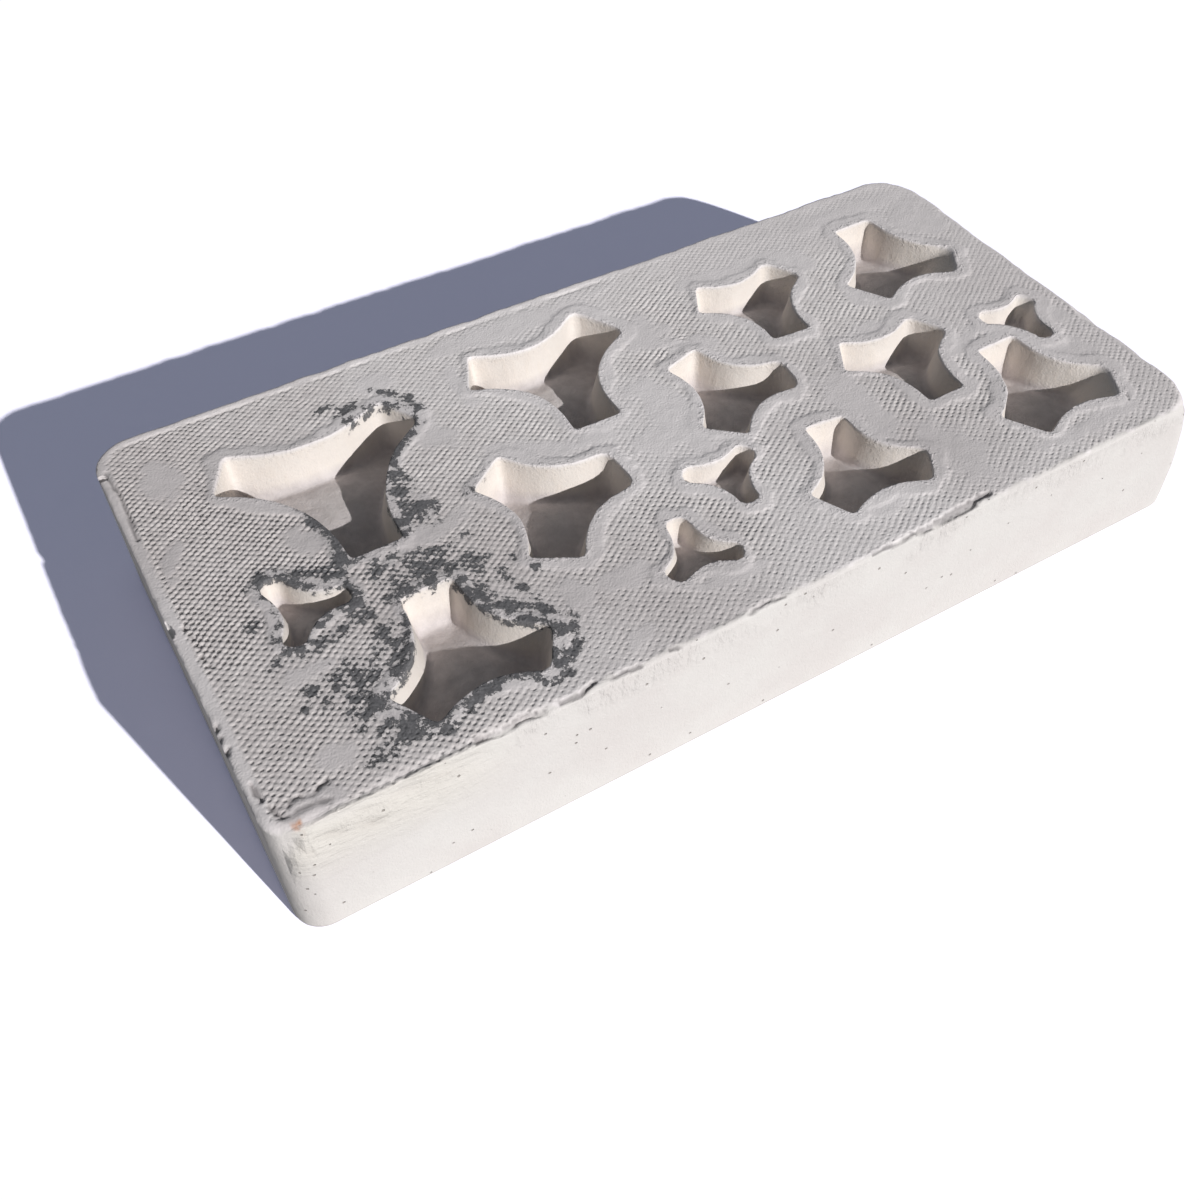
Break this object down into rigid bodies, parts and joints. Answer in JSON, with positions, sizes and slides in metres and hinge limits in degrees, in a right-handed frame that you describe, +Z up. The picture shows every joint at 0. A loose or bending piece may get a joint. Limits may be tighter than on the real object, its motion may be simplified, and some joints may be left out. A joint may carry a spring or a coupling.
{
  "type": "plaster press mould",
  "caption": "Cast plaster press mould: a rectangular block whose canvas-textured top holds three-armed cavities in several sizes for pressing kiln stilts from clay.",
  "frame": {"origin": "centre of the flat bottom face", "axes": "+X along the block's length, +Y across its width towards the far edge, +Z up, out of the cavities' mouths"},
  "size_m": [0.3342, 0.1586, 0.0516],
  "materials": {
    "plaster": "dry matte plaster, canvas-textured on top, stained by dark clay near some cavities"
  },
  "bodies": {
    "root": {"mould_block": "plaster"}
  },
  "joints": []
}
